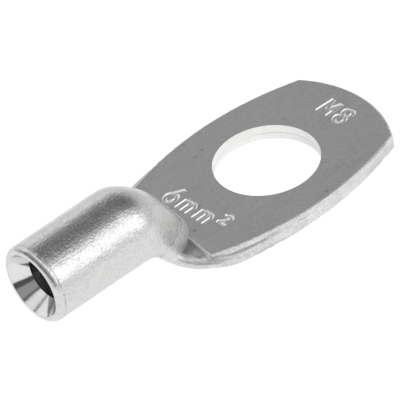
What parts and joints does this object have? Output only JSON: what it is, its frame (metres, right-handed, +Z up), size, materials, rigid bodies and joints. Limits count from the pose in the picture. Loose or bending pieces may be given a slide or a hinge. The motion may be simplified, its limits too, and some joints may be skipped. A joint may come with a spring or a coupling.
{
  "type": "tubular cable lug",
  "caption": "Short tubular cable lug with a round countersunk barrel, a die-pressed neck and a flat two-step palm with one stud hole.",
  "frame": {"origin": "centre of the stud hole on the palm's flat underside, the contact face", "axes": "+X from the barrel's mouth towards the palm's tip, +Z up out of the palm's top face, along the stud, +Y across"},
  "size_m": [0.0332, 0.0142, 0.0075],
  "materials": {
    "tinned_copper": "satin"
  },
  "bodies": {
    "root": {"lug": "tinned_copper"}
  },
  "joints": []
}
